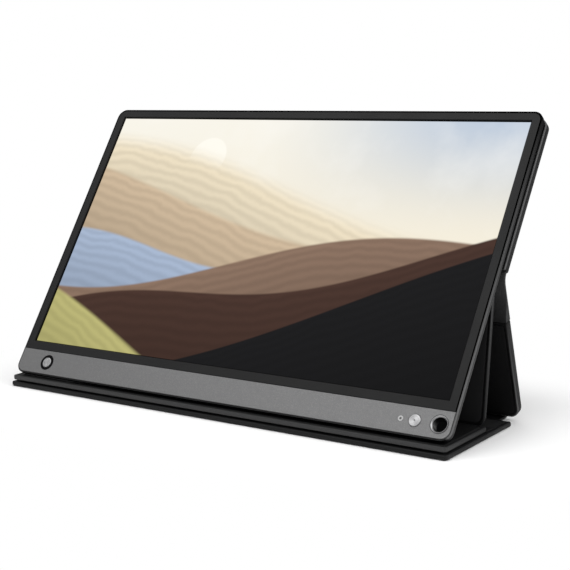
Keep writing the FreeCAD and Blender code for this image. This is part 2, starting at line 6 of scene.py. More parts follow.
import bpy
import mathutils
import numpy as np
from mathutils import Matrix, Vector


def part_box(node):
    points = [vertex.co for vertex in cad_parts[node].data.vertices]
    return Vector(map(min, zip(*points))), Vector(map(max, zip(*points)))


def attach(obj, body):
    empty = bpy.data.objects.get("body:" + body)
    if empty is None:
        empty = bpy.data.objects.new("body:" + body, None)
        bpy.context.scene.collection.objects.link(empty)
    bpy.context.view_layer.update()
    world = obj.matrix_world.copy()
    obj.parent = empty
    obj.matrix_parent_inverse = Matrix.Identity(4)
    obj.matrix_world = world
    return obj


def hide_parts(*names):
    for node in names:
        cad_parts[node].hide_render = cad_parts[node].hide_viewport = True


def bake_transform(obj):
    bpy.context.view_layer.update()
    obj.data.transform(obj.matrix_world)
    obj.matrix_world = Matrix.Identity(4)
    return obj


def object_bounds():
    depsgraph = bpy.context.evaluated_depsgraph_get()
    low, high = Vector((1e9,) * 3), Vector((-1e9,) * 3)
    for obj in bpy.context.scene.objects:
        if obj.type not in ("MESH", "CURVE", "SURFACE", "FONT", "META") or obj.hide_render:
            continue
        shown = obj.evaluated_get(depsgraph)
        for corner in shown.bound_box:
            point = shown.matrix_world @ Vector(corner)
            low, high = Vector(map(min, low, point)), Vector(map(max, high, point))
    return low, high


bl_info = {
    "name": "Portable monitor with folding cover",
    "version": (1, 0, 0),
    "blender": (4, 5, 0),
    "location": "3D View > Sidebar > Monitor",
    "description": "Builds the cover, the picture and the finishes round the packed monitor",
    "category": "Object",
}

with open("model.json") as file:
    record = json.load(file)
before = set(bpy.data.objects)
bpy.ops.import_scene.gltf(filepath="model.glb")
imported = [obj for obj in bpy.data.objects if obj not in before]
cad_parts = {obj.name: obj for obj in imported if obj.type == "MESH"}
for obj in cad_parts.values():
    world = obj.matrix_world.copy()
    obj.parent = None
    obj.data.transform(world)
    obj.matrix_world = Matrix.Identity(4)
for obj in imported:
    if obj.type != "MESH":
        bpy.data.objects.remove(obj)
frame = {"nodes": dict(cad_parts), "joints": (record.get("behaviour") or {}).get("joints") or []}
NODES = frame["nodes"]
JOINTS = {joint["name"]: joint for joint in frame["joints"]}
CAD_BOX = [list(corner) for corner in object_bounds()]
MM = 0.001
IMAGE_SIDE = 570
SHARP_ANGLE = math.radians(35)
CORNER_STEPS = 9
ROLL_TURN = np.linspace(0, math.pi / 2, 7)


def hinge_place(name):
    """A hinge's place in the upright plane across the table: depth and height, in metres."""
    return np.array(JOINTS[name]["pos_m"][1:])


def node_points(name):
    """All corners of a CAD node, in the shared frame."""
    flat = np.empty(len(NODES[name].data.vertices) * 3, np.float32)
    NODES[name].data.vertices.foreach_get("co", flat)
    return flat.reshape(-1, 3).astype(float)


def to_panel(points, turn):
    """Points turned back about the long axis, so that depth runs along Y and height along Z."""
    c, s = math.cos(turn), math.sin(turn)
    return np.stack([points[..., 0], points[..., 1] * c + points[..., 2] * s,
                     points[..., 2] * c - points[..., 1] * s], -1)


def to_shared(points, turn):
    """The way back from a panel's own directions to the shared frame."""
    return to_panel(points, -turn)


def panel_up(turn):
    """The way up a panel, as depth and height."""
    return np.array([-math.sin(turn), math.cos(turn)])


def panel_back(turn):
    """The way from a panel's front to its back, as depth and height."""
    return np.array([math.cos(turn), math.sin(turn)])


def slab_turn(name):
    """The turn of a thin slab about the long axis: the direction of the widest spread of its corners."""
    spread = np.cov(node_points(name)[:, 1:].T)
    along = np.linalg.eigh(spread)[1][:, -1]
    along = along * np.sign(along[1])
    return math.atan2(-along[0], along[1])


FOOT = hinge_place("lid_hinge")
CREASE = hinge_place("screen_fold")
BRACE_TOP = hinge_place("brace_fold")
FLAP_BACK = hinge_place("flap_fold")
PRESS = JOINTS["menu_press"]["axis"]
SCREEN_TURN = math.atan2(PRESS[2], PRESS[1])
LEG_TURN = math.atan2(FOOT[0] - CREASE[0], CREASE[1] - FOOT[1])
BRACE_TURN = slab_turn("brace_board")
BASE_TURN = -math.pi / 2
FLAP_TURN = math.pi / 2


# Settings that a user may change

def length(name, description, millimetres):
    """A setting for a length."""
    return bpy.props.FloatProperty(
        name=name, description=description, default=millimetres * MM, unit="LENGTH")


def angle(name, description, degrees):
    """A setting for an angle."""
    return bpy.props.FloatProperty(
        name=name, description=description, default=math.radians(degrees), subtype="ANGLE")


def amount(name, description, value, unit="NONE"):
    """A setting for a number from nought up."""
    return bpy.props.FloatProperty(name=name, description=description, default=value, min=0.0, unit=unit)


def tint(name, description, colour):
    """A setting for a colour."""
    return bpy.props.FloatVectorProperty(
        name=name, description=description, default=colour, subtype="COLOR")


class CoverLook(bpy.types.PropertyGroup):
    """Sizes and colours of the folding cover."""

    outer_round: length("Outer corner", "Corner radius at a panel's free end", 7)
    base_round: length("Base corner", "Corner radius at the front of the base and the flap", 2.6)
    fold_round: length("Fold corner", "Corner radius at a panel's folded end", 1.2)
    edge_round: length("Edge roll", "Radius of the rolled edge", 1.0)
    rim_round: length("Rim joint", "Radius of the edge where the upper panel meets its rim", 0.2)
    edge_wrap: length("Edge wrap", "Width of skin turned over the inner face", 2.4)
    recess: length("Lining recess", "Depth of the lining below the wrapped edge", 0.45)
    groove_inset: length("Groove inset", "Distance of the pressed line from the edge", 2.6)
    groove_depth: length("Groove depth", "Depth of the pressed line", 0.35)
    cloth_thick: length("Fold cloth", "Thickness of the cloth in the folds", 1.15)
    skin_colour: tint("Leatherette", "Colour of the skin", (0.006, 0.006, 0.0063))
    # Painted highlight: a lighter colour laid on the rolled edges, where light catches them
    edge_highlight_colour: tint("Rubbed edge", "Colour where the edge is polished", (0.11, 0.11, 0.111))
    # Painted light: the inside of the screen's fold takes a share of the lighter edge colour
    fold_inside_light: amount("Fold inside", "Share of the rubbed colour on the inside of the screen's fold", 0.46)
    lining_colour: tint("Lining", "Colour of the inner nap", (0.008, 0.008, 0.0083))


class ScreenLook(bpy.types.PropertyGroup):
    """Colours of the screen body and its picture."""

    housing_colour: tint("Housing", "Colour of the moulded back", (0.005, 0.005, 0.0052))
    housing_roughness: amount("Housing roughness", "Roughness of the moulded back", 0.32)
    housing_gloss: amount("Housing gloss", "Gloss of the moulded back at its lower edge", 0.22)
    # Painted highlight on the moulded back's front corner at the sides, strongest at its lower edge
    corner_highlight_colour: tint("Rubbed corner", "Colour of the moulded back's front corner at its lower edge",
                        (0.095, 0.095, 0.096))
    bezel_colour: tint("Bezel", "Colour of the frame round the picture", (0.008, 0.008, 0.0082))
    # Painted shade: the black line at the frame's outer edge stands for the shadow in the gap to the housing
    gap_shade_width: length("Frame line", "Width of the black line at the frame's outer edge", 0.5)
    bar_colour: tint("Bar", "Colour of the metal bar below the picture", (0.145, 0.145, 0.146))
    metal_colour: tint("Bright metal", "Colour of the buttons and the pen bush", (0.42, 0.42, 0.425))
    border: length("Dark border", "Unlit width at the rim of the cell, most of it under the frame", 3.6)
    glow: amount("Picture level", "Brightness of the lit picture", 1.0)


class StageLook(bpy.types.PropertyGroup):
    """Camera, lamps and floor."""

    eye: bpy.props.FloatVectorProperty(
        name="Eye", description="Place of the camera", default=(0.51332, -0.71121, 0.22303), unit="LENGTH")
    azimuth: angle("Azimuth", "Turn of the camera round the object", 34.849)
    elevation: angle("Elevation", "Downward tilt of the camera", 11.111)
    roll: angle("Roll", "Turn of the camera about its own axis", 0.922)
    focal_pixels: amount("Focal length", "Focal length in pixels of the square image", 1283.4)
    drop_pixels: amount("Drop", "How far the optical axis meets the image below its middle", 40.0)
    key_power: amount("Key lamp", "Power of the large lamp above", 12.0, "POWER")
    side_power: amount("Side lamp", "Power of the lamp on the right", 7.0, "POWER")
    floor_colour: tint("Floor", "Colour of the floor", (0.93, 0.93, 0.93))


# Mesh tools

def ring_faces(rows, columns):
    """Quads between neighbouring closed rings, and one face over each end ring."""
    row = np.arange(rows - 1)[:, None]
    column = np.arange(columns)[None, :]
    ahead = (column + 1) % columns
    quads = np.stack([row * columns + column, row * columns + ahead,
                      (row + 1) * columns + ahead, (row + 1) * columns + column], -1).reshape(-1, 4)
    first = list(range(columns))[::-1]
    last = list(range((rows - 1) * columns, rows * columns))
    return quads.tolist() + [first, last]


def enclosed_volume(rings):
    """Volume inside a stack of closed rings, positive where ring_faces points them outwards."""
    ahead = np.roll(rings, -1, axis=1)
    a, b = rings[:-1], ahead[:-1]
    c, d = ahead[1:], rings[1:]
    sides = np.sum(np.cross(a, b) * c) + np.sum(np.cross(a, c) * d)
    caps = 0.0
    for ring, way in ((rings[0], -1), (rings[-1], 1)):
        fan = np.cross(ring[1:-1], ring[2:])
        caps += way * np.sum(ring[:1] * fan)
    return (sides + caps) / 6


def add_object(name, data):
    """An object at the origin, linked to the scene."""
    made = bpy.data.objects.new(name, data)
    bpy.context.scene.collection.objects.link(made)
    return made


def add_rings(name, rings, material, edge=None):
    """A closed mesh from stacked rings, with an optional edge weight for each point."""
    if enclosed_volume(rings) < 0:
        rings = rings[:, ::-1]
        edge = None if edge is None else edge[:, ::-1]
    rows, columns = rings.shape[:2]
    mesh = bpy.data.meshes.new(name)
    mesh.from_pydata(rings.reshape(-1, 3).tolist(), [], ring_faces(rows, columns))
    mesh.shade_smooth()
    mesh.set_sharp_from_angle(angle=SHARP_ANGLE)
    if edge is not None:
        weights = np.ascontiguousarray(edge, np.float32).ravel()
        mesh.attributes.new("edge", "FLOAT", "POINT").data.foreach_set("value", weights)
    mesh.materials.append(material)
    return add_object(name, mesh)


def outline(half_width, low, high, low_round, high_round, inset):
    """A rounded rectangle drawn in by an inset: four quarter circles whose radius shrinks by the inset."""
    quarter = np.linspace(0, math.pi / 2, CORNER_STEPS)
    least = 0.02 * MM
    corners = []
    for start, across, up, size in ((-math.pi / 2, 1, low, low_round), (0, 1, high, high_round),
                                    (math.pi / 2, -1, high, high_round), (math.pi, -1, low, low_round)):
        radius = max(size - inset, least)
        way = 1 if up == low else -1
        x = across * (half_width - inset - radius) + radius * np.cos(start + quarter)
        z = up + way * (inset + radius) + radius * np.sin(start + quarter)
        corners.append(np.stack([x, z], -1))
    return np.concatenate(corners)


def panel_rings(half_width, low, high, low_round, high_round, profile):
    """Rounded rectangles stacked by a profile of insets and depths."""
    rings = []
    for inset, depth in profile:
        flat = outline(half_width, low, high, low_round, high_round, inset)
        rings.append(np.stack([flat[:, 0], np.full(len(flat), depth), flat[:, 1]], -1))
    return np.array(rings)


def bent_path(start, corner, end, near, beyond):
    """A straight run, a parabola that rounds the corner between two points, and a straight run."""
    start, corner, end = (np.asarray(point, float) for point in (start, corner, end))
    before = corner + (start - corner) / np.linalg.norm(start - corner) * near
    after = corner + (end - corner) / np.linalg.norm(end - corner) * beyond
    in_steps, curve_steps, out_steps = 8, 12, 6
    t = np.linspace(0, 1, curve_steps)[:, None]
    curve = (1 - t) ** 2 * before + 2 * t * (1 - t) * corner + t ** 2 * after
    run_in = start + (before - start) * np.linspace(0, 1, in_steps)[:-1, None]
    run_out = after + (end - after) * np.linspace(0, 1, out_steps)[1:, None]
    return np.concatenate([run_in, curve, run_out])


def walked_along(path):
    """Distance from a path's start to each of its points."""
    return np.concatenate([[0.0], np.cumsum(np.linalg.norm(np.diff(path, axis=0), axis=1))])


def strip_rings(path, thick, half_width, wedge=0.0, wedge_run=1.0):
    """A cloth along a path with soft sides, a slow ripple and, short of both sides, a wedge at its start."""
    columns, soft, side_share = 90, 0.4 * MM, 0.45
    ripple, long_wave, short_wave = 0.12 * MM, 17 * MM, 7.3 * MM
    ahead = np.gradient(path, axis=0)
    ahead /= np.linalg.norm(ahead, axis=1)[:, None]
    normal = np.stack([-ahead[:, 1], ahead[:, 0]], -1)
    inner_x = np.linspace(soft - half_width, half_width - soft, columns - 2)
    x = np.concatenate([[-half_width], inner_x, [half_width]])
    at_side = np.abs(x) == half_width
    swell = np.sin(math.pi * np.linspace(0, 1, len(path))) ** 2
    wave = np.sin(x / long_wave) * 0.6 + np.sin(x / short_wave + 1.7) * 0.4
    offset = ripple * wave[:, None] * swell[None, :]
    half = thick / 2 * np.where(at_side, side_share, 1.0)[:, None] * np.ones(len(path))[None, :]
    slope = np.clip(1 - walked_along(path) / wedge_run, 0, 1)
    padding = np.where(at_side, 0.0, wedge)[:, None] * (slope ** 2 * (3 - 2 * slope))[None, :]
    upper = path[None] + normal[None] * (offset + half + padding)[..., None]
    lower = path[None] + normal[None] * (offset - half)[..., None]
    loop = np.concatenate([upper, lower[:, ::-1]], axis=1)
    wide = np.broadcast_to(x[:, None, None], loop.shape[:2] + (1,))
    return np.concatenate([wide, loop], axis=-1)


# Material tools

def shader_of(material):
    """A material's principled shader."""
    return material.node_tree.nodes["Principled BSDF"]


def new_finish(name, colour, roughness, metallic=0.0, specular=0.5):
    """A principled material with its constants on the shader's own sockets."""
    material = bpy.data.materials.new(name)
    material.use_nodes = True
    shader = shader_of(material)
    constants = {"Base Color": (*colour, 1.0), "Roughness": roughness, "Metallic": metallic,
                 "Specular IOR Level": specular}
    for key, value in constants.items():
        shader.inputs[key].default_value = value
    return material, shader


def add_node(material, kind, inputs=None, **settings):
    """A node with its settings and input values."""
    made = material.node_tree.nodes.new(kind)
    for key, setting in settings.items():
        setattr(made, key, setting)
    for key, value in (inputs or {}).items():
        if isinstance(value, bpy.types.NodeSocket):
            material.node_tree.links.new(value, made.inputs[key])
        else:
            made.inputs[key].default_value = value
    return made


def math_node(material, operation, *values):
    """The output of a Math node on sockets or numbers."""
    return add_node(material, "ShaderNodeMath", dict(enumerate(values)), operation=operation).outputs[0]


def vector_node(material, operation, *values):
    """The output of a Vector Math node on sockets or triples: a number for a length or a dot product."""
    made = add_node(material, "ShaderNodeVectorMath", dict(enumerate(values)), operation=operation)
    return made.outputs["Value" if operation in ("LENGTH", "DOT_PRODUCT") else "Vector"]


def mix_colour(material, factor, first, second):
    """The output of a colour mix."""
    made = add_node(material, "ShaderNodeMix", data_type="RGBA")
    for key, value in (("Factor", factor), (6, first), (7, second)):
        socket = made.inputs[key]
        if isinstance(value, bpy.types.NodeSocket):
            material.node_tree.links.new(value, socket)
        else:
            socket.default_value = (*value, 1.0) if hasattr(value, "__len__") else value
    return made.outputs[2]


def map_range(material, value, low, high, to_low=0.0, to_high=1.0, smooth=False):
    """The output of a Map Range node."""
    inputs = {"Value": value, "From Min": low, "From Max": high, "To Min": to_low, "To Max": to_high}
    kind = "SMOOTHSTEP" if smooth else "LINEAR"
    return add_node(material, "ShaderNodeMapRange", inputs, interpolation_type=kind).outputs["Result"]


def object_place(material):
    """Object coordinates, which are the shared frame's own."""
    return add_node(material, "ShaderNodeTexCoord").outputs["Object"]


def screen_place(material):
    """Object coordinates turned so that depth runs along Y and height along Z in the screen."""
    turned = add_node(material, "ShaderNodeMapping",
                      {"Vector": object_place(material), "Rotation": (-SCREEN_TURN, 0.0, 0.0)})
    return turned.outputs["Vector"]


def parts_of(material, vector):
    """The three parts of a vector, by the names of their axes."""
    return add_node(material, "ShaderNodeSeparateXYZ", {"Vector": vector}).outputs


def noise(material, place, scale, detail=3.0):
    """Noise whose cells are about one over the scale, in metres."""
    inputs = {"Vector": place, "Scale": scale, "Detail": detail, "Roughness": 0.55}
    return add_node(material, "ShaderNodeTexNoise", inputs).outputs["Fac"]


def feed(shader, name, output):
    """A link into one of a shader's inputs."""
    shader.id_data.links.new(output, shader.inputs[name])


def emboss(material, shader, height, distance, strength):
    """A bump on the shader."""
    inputs = {"Height": height, "Distance": distance, "Strength": strength}
    feed(shader, "Normal", add_node(material, "ShaderNodeBump", inputs).outputs["Normal"])


def shade_of(colour, share):
    """A colour made darker or lighter by a share of itself."""
    return tuple(min(1.0, channel * share) for channel in colour)


def mottle(material, factor, colour, first_share, second_share):
    """A colour that goes from one share of itself to another."""
    return mix_colour(material, factor, shade_of(colour, first_share), shade_of(colour, second_share))


def paint_over(material, share, colour):
    """A colour laid over a finish by a share."""
    shader = shader_of(material)
    ground = shader.inputs["Base Color"].links[0].from_socket
    feed(shader, "Base Color", mix_colour(material, share, ground, colour))


def leatherette(name, colour, edge_highlight_colour):
    """Pebbled skin: fine cells with rounded tops, mottled gloss and a painted highlight on the edge."""
    material, shader = new_finish(name, colour, 0.5, specular=0.12)
    place = object_place(material)
    cells = {"Vector": place, "Scale": 1150.0, "Smoothness": 0.5}
    hollow = add_node(material, "ShaderNodeTexVoronoi", cells, feature="SMOOTH_F1").outputs["Distance"]
    fine = noise(material, place, 2600.0)
    pebble = math_node(material, "MULTIPLY_ADD", hollow, -1.0, fine)
    emboss(material, shader, pebble, 0.12 * MM, 0.8)
    broad = noise(material, place, 38.0)
    edge = add_node(material, "ShaderNodeAttribute", attribute_name="edge").outputs["Fac"]
    mottled = mottle(material, broad, colour, 0.75, 1.3)
    # Painted highlight: the edge weight mixes the lighter edge colour into the skin
    feed(shader, "Base Color", mix_colour(material, edge, mottled, edge_highlight_colour))
    gloss = map_range(material, broad, 0.3, 0.7, 0.42, 0.56)
    feed(shader, "Roughness", math_node(material, "MULTIPLY_ADD", edge, -0.1, gloss))
    return material


def nap(name, colour):
    """Short nap: soft sheen, fine fibres and faint shading where it was stroked."""
    material, shader = new_finish(name, colour, 0.85, specular=0.06)
    shader.inputs["Sheen Weight"].default_value = 0.02
    shader.inputs["Sheen Roughness"].default_value = 0.5
    place = object_place(material)
    stretched = add_node(material, "ShaderNodeMapping", {"Vector": place, "Scale": (900.0, 2400.0, 2400.0)})
    fibre = noise(material, stretched.outputs["Vector"], 1.0)
    emboss(material, shader, fibre, 0.08 * MM, 0.5)
    broad = noise(material, place, 24.0)
    feed(shader, "Base Color", mottle(material, broad, colour, 0.8, 1.35))
    return material


def moulded(name, colour, roughness, grain, specular=0.35):
    """Moulded plastic: a spark-eroded grain and slight changes of gloss."""
    material, shader = new_finish(name, colour, roughness, specular=specular)
    place = object_place(material)
    fine = noise(material, place, 1.0 / grain, 2.0)
    emboss(material, shader, fine, 0.02 * MM, 0.45)
    broad = noise(material, place, 30.0)
    feed(shader, "Roughness", map_range(material, broad, 0.3, 0.7, roughness - 0.05, roughness + 0.05))
    feed(shader, "Base Color", mottle(material, fine, colour, 0.88, 1.12))
    return material


def past_corner(material, first, first_line, second, second_line):
    """How far a place lies past two lines at right angles, from their corner where it is past both."""
    past = [math_node(material, "MAXIMUM", math_node(material, "SUBTRACT", value, line), 0.0)
            for value, line in ((first, first_line), (second, second_line))]
    squares = [math_node(material, "POWER", value, 2.0) for value in past]
    return math_node(material, "SQRT", math_node(material, "ADD", *squares))


def painted_gap_shade(material, half_width, top, corner, line):
    """Painted shade: a matt black line along the sides and the top of a screen part with rounded upper
    corners, for the shadow in the gap beside it.
    """
    sides = parts_of(material, screen_place(material))
    across = math_node(material, "ABSOLUTE", sides["X"])
    reach = past_corner(material, across, half_width - corner, sides["Z"], top - corner)
    soft = 0.05 * MM
    band = map_range(material, reach, corner - line - soft, corner - line + soft)
    paint_over(material, band, (0.0, 0.0, 0.0))
    shader = shader_of(material)
    gloss = shader.inputs["Specular IOR Level"].default_value
    feed(shader, "Specular IOR Level", map_range(material, band, 0.0, 1.0, gloss, 0.0))


def painted_corner_highlight(material, extent, gloss, corner_highlight_colour):
    """Gloss, and a painted highlight on the front corner at the sides, fading from a screen part's low end
    to its high end.
    """
    half, low, high, front, _ = extent
    sides = parts_of(material, screen_place(material))
    fade = map_range(material, sides["Z"], low, high, 1.0, 0.0)
    feed(shader_of(material), "Specular IOR Level", math_node(material, "MULTIPLY", fade, gloss))
    corner = map_range(material, sides["Y"], front + 0.8 * MM, front + 2.2 * MM, 1.0, 0.0)
    across = math_node(material, "ABSOLUTE", sides["X"])
    beside = map_range(material, across, half - 3 * MM, half - 2 * MM)
    corner_highlight = math_node(material, "MULTIPLY", math_node(material, "MULTIPLY", corner, beside), fade)
    # Painted highlight: a lighter colour on the front corner at the sides
    paint_over(material, corner_highlight, corner_highlight_colour)


def blasted_bar(name, colour):
    """Blasted and coated metal: tiny bright flakes in a grey ground."""
    material, shader = new_finish(name, colour, 0.42, metallic=0.55)
    cells = {"Vector": object_place(material), "Scale": 4200.0}
    flake = add_node(material, "ShaderNodeTexVoronoi", cells).outputs["Color"]
    level = add_node(material, "ShaderNodeSeparateColor", {"Color": flake}).outputs["Red"]
    bright = map_range(material, level, 0.85, 1.0)
    ground = mottle(material, level, colour, 0.9, 1.06)
    feed(shader, "Base Color", mix_colour(material, bright, ground, shade_of(colour, 1.4)))
    feed(shader, "Roughness", map_range(material, level, 0.0, 1.0, 0.5, 0.34))
    emboss(material, shader, level, 0.015 * MM, 0.5)
    return material


def axis_offset(material, centre):
    """The step from a control's axis, square to it, in metres."""
    away = vector_node(material, "SUBTRACT", screen_place(material), tuple(centre))
    return vector_node(material, "MULTIPLY", away, (1.0, 0.0, 1.0))


def reflection_lobes_of(material, vector, bearing):
    """Two soft lobes of painted reflection round an axis: one along the bearing and back, none across it."""
    aim = (math.cos(bearing), 0.0, math.sin(bearing))
    swing = vector_node(material, "DOT_PRODUCT", vector_node(material, "NORMALIZE", vector), aim)
    return math_node(material, "POWER", swing, 2.0)


def lamp_lens(name, centre, radius):
    """A small lens: a dark unlit middle and a pale moulded rim with faint streaks."""
    material, shader = new_finish(name, (0.4, 0.4, 0.4), 0.3, specular=0.3)
    distance = vector_node(material, "LENGTH", axis_offset(material, centre))
    rim = map_range(material, distance, 0.35 * radius, 0.6 * radius, smooth=True)
    streak = noise(material, object_place(material), 900.0)
    pale = mix_colour(material, streak, (0.36, 0.36, 0.36), (0.5, 0.5, 0.5))
    feed(shader, "Base Color", mix_colour(material, rim, (0.07, 0.07, 0.07), pale))
    return material


def spun_metal(name, colour, centre, bright_from, bright_to, dim_share):
    """Metal spun about an axis: rings, two lobes of painted reflection round it, and dark inside and outside
    the bright band.
    """
    material, shader = new_finish(name, colour, 0.3, metallic=1.0)
    shader.inputs["Anisotropic"].default_value = 0.8
    spoke = vector_node(material, "SUBTRACT", object_place(material), tuple(to_shared(centre, SCREEN_TURN)))
    round_it = vector_node(material, "CROSS_PRODUCT", tuple(PRESS), spoke)
    drawn = add_node(material, "ShaderNodeVectorTransform", {"Vector": round_it}, vector_type="VECTOR",
                     convert_from="OBJECT", convert_to="WORLD")
    feed(shader, "Tangent", drawn.outputs["Vector"])
    offset = axis_offset(material, centre)
    distance = vector_node(material, "LENGTH", offset)
    ring = add_node(material, "ShaderNodeTexNoise", {"W": distance, "Scale": 5200.0, "Detail": 2.0},
                    noise_dimensions="1D").outputs["Fac"]
    emboss(material, shader, ring, 0.06 * MM, 0.8)
    soft = 0.12 * MM
    inside = map_range(material, distance, bright_from - soft, bright_from + soft)
    outside = map_range(material, distance, bright_to - soft, bright_to + soft, 1.0, 0.0)
    band = math_node(material, "MULTIPLY", inside, outside)
    spun = mottle(material, ring, colour, 0.6, 1.0)
    # Painted reflection: the colour is full in two lobes round the axis and dimmed by dim_share across it
    reflection_lobes = reflection_lobes_of(material, offset, math.radians(50))
    spun = mix_colour(material, reflection_lobes, shade_of(colour, dim_share), spun)
    # The colour drops to a tenth inside and outside the bright band; in the pen bush's bore, inside the
    # band, this is painted shade
    feed(shader, "Base Color", mix_colour(material, band, shade_of(colour, 0.1), spun))
    feed(shader, "Roughness", map_range(material, ring, 0.2, 0.8, 0.22, 0.4))
    return material


def rolled_metal(name, colour, roughness):
    """Rolled or pressed metal: long fine scratches."""
    material, shader = new_finish(name, colour, roughness, metallic=1.0)
    drawn = add_node(material, "ShaderNodeMapping",
                     {"Vector": object_place(material), "Scale": (60.0, 3000.0, 3000.0)})
    scratch = noise(material, drawn.outputs["Vector"], 1.0)
    emboss(material, shader, scratch, 0.01 * MM, 0.4)
    feed(shader, "Roughness", map_range(material, scratch, 0.3, 0.7, roughness - 0.08, roughness + 0.08))
    return material


def circuit_board(name, colour):
    """Solder mask over a pattern of copper runs."""
    material, shader = new_finish(name, colour, 0.35)
    bricks = {"Vector": object_place(material), "Scale": 260.0, "Mortar Size": 0.03}
    runs = add_node(material, "ShaderNodeTexBrick", bricks, offset=0.5).outputs["Fac"]
    feed(shader, "Base Color", mottle(material, runs, colour, 1.0, 1.9))
    emboss(material, shader, runs, 0.03 * MM, 0.6)
    return material


def pressed_board(name, colour):
    """Grey pulp board with flecks."""
    material, shader = new_finish(name, colour, 0.9, specular=0.2)
    fleck = noise(material, object_place(material), 700.0, 5.0)
    feed(shader, "Base Color", mottle(material, fleck, colour, 0.7, 1.2))
    emboss(material, shader, fleck, 0.05 * MM, 0.5)
    return material


def clear_plastic(name, colour):
    """Clear or milky plastic with faint streaks."""
    material, shader = new_finish(name, colour, 0.2)
    streak = noise(material, object_place(material), 160.0)
    feed(shader, "Base Color", mottle(material, streak, colour, 0.9, 1.0))
    return material


# Layers of the picture from the back to the front: level, slope, swing, waves, start, softness and colour
DUNES = (
    (0.86, -0.34, 0.055, 5.0, 0.6, 0.050, (0.80, 0.70, 0.52)),
    (0.70, -0.22, 0.080, 4.1, 2.2, 0.012, (0.58, 0.45, 0.31)),
    (0.47, -0.16, 0.030, 9.0, 1.1, 0.008, (0.36, 0.44, 0.58)),
    (0.30, 0.22, 0.070, 5.3, 4.0, 0.006, (0.24, 0.155, 0.11)),
    (0.13, 0.40, 0.055, 6.2, 0.9, 0.005, (0.060, 0.030, 0.022)),
    (-0.16, 0.62, 0.060, 4.6, 2.9, 0.004, (0.0075, 0.0075, 0.0085)),
    (0.21, -0.62, 0.030, 7.0, 1.4, 0.010, (0.46, 0.43, 0.17)),
)


def dune_picture(name, box_low, box_high, border, glow):
    """A lit picture of rippled dunes: each lies below a line that is a slope plus a sine of the width."""
    material, shader = new_finish(name, (0.001, 0.001, 0.001), 0.4, specular=0.03)
    sides = parts_of(material, screen_place(material))
    across = map_range(material, sides["X"], box_low[0], box_high[0])
    upward = map_range(material, sides["Z"], box_low[2], box_high[2])
    haze = noise(material, object_place(material), 14.0, 5.0)
    rightward = map_range(material, across, 0.35, 0.95, smooth=True)
    sky = mix_colour(material, rightward, (0.95, 0.93, 0.86), (0.36, 0.50, 0.72))
    rise = map_range(material, upward, 0.5, 1.05, 0.0, 0.75, smooth=True)
    colour = mix_colour(material, rise, (0.92, 0.86, 0.72), sky)
    cloud = map_range(material, haze, 0.45, 0.8, 0.0, 0.5)
    colour = mix_colour(material, cloud, colour, (1.0, 0.99, 0.96))
    sun_across = math_node(material, "POWER", math_node(material, "MULTIPLY_ADD", across, 1.78, -0.5), 2.0)
    sun_upward = math_node(material, "POWER", math_node(material, "SUBTRACT", upward, 0.82), 2.0)
    sun_away = math_node(material, "SQRT", math_node(material, "ADD", sun_across, sun_upward))
    sun = map_range(material, sun_away, 0.085, 0.079)
    colour = mix_colour(material, sun, colour, (1.0, 0.97, 0.88))
    for level, slope, swing, waves, start, soft, sand in DUNES:
        sine = math_node(material, "SINE", math_node(material, "MULTIPLY_ADD", across, waves, start))
        line = math_node(material, "MULTIPLY_ADD", sine, swing, level)
        line = math_node(material, "MULTIPLY_ADD", across, slope, line)
        under = math_node(material, "SUBTRACT", line, upward)
        cover = map_range(material, under, -soft, soft, smooth=True)
        bent = math_node(material, "MULTIPLY_ADD", haze, 0.12, under)
        phase = math_node(material, "MULTIPLY", math_node(material, "POWER", bent, 0.7), 130.0)
        ripple = map_range(material, math_node(material, "SINE", phase), -1.0, 1.0, 0.82, 1.0)
        lit = math_node(material, "MULTIPLY", ripple, map_range(material, under, 0.0, 0.45, 1.0, 0.35))
        shade = mottle(material, lit, sand, 0.35, 1.12)
        colour = mix_colour(material, cover, colour, shade)
    inward = [math_node(material, "SUBTRACT", *pair)
              for pair in ((sides["X"], box_low[0]), (box_high[0], sides["X"]),
                           (sides["Z"], box_low[2]), (box_high[2], sides["Z"]))]
    nearest = math_node(material, "MINIMUM", math_node(material, "MINIMUM", inward[0], inward[1]),
                        math_node(material, "MINIMUM", inward[2], inward[3]))
    lit_area = map_range(material, nearest, border - 0.1 * MM, border + 0.1 * MM)
    colour = mix_colour(material, lit_area, (0.0, 0.0, 0.0), colour)
    feed(shader, "Emission Color", colour)
    shader.inputs["Emission Strength"].default_value = glow
    return material


def dress(names, material):
    """Gives CAD nodes a finish."""
    for name in names:
        NODES[name].data.materials.clear()
        NODES[name].data.materials.append(material)


def ride_for(piece, body, slot, *nodes):
    """Rides a piece on its body in place of its CAD nodes."""
    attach(piece, body)
    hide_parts(*nodes)


def panel_corners(name, turn):
    """The low and the high corner of a CAD node in a panel's own directions."""
    points = to_panel(node_points(name), turn)
    return points.min(0), points.max(0)


def panel_extent(name, turn):
    """Half width, low, high, front and back of a CAD panel in its own directions."""
    low, high = panel_corners(name, turn)
    return high[0], low[2], high[2], low[1], high[1]


# Turn, body, corner settings at the low and the high end, painted highlight on the inner corner and on the
# side, the share of the painted highlight that is kept away from the free end, and the share of the lining's
# colour, which lightens the brace's lining as painted light
PANELS = {
    "upper": (SCREEN_TURN, "screen", "fold_round", "outer_round", 0.0, 0.0, 1.0, 1.0),
    "leg": (LEG_TURN, "leg", "outer_round", "fold_round", 1.0, 0.0, 1.0, 1.0),
    "base": (BASE_TURN, "base", "base_round", "fold_round", 0.06, 0.06, 1.0, 1.0),
    "flap": (FLAP_TURN, "flap", "fold_round", "base_round", 0.38, 0.38, 0.25, 1.0),
    "brace": (BRACE_TURN, "brace", "outer_round", "fold_round", 0.68, 0.15, 1.0, 2.2),
}


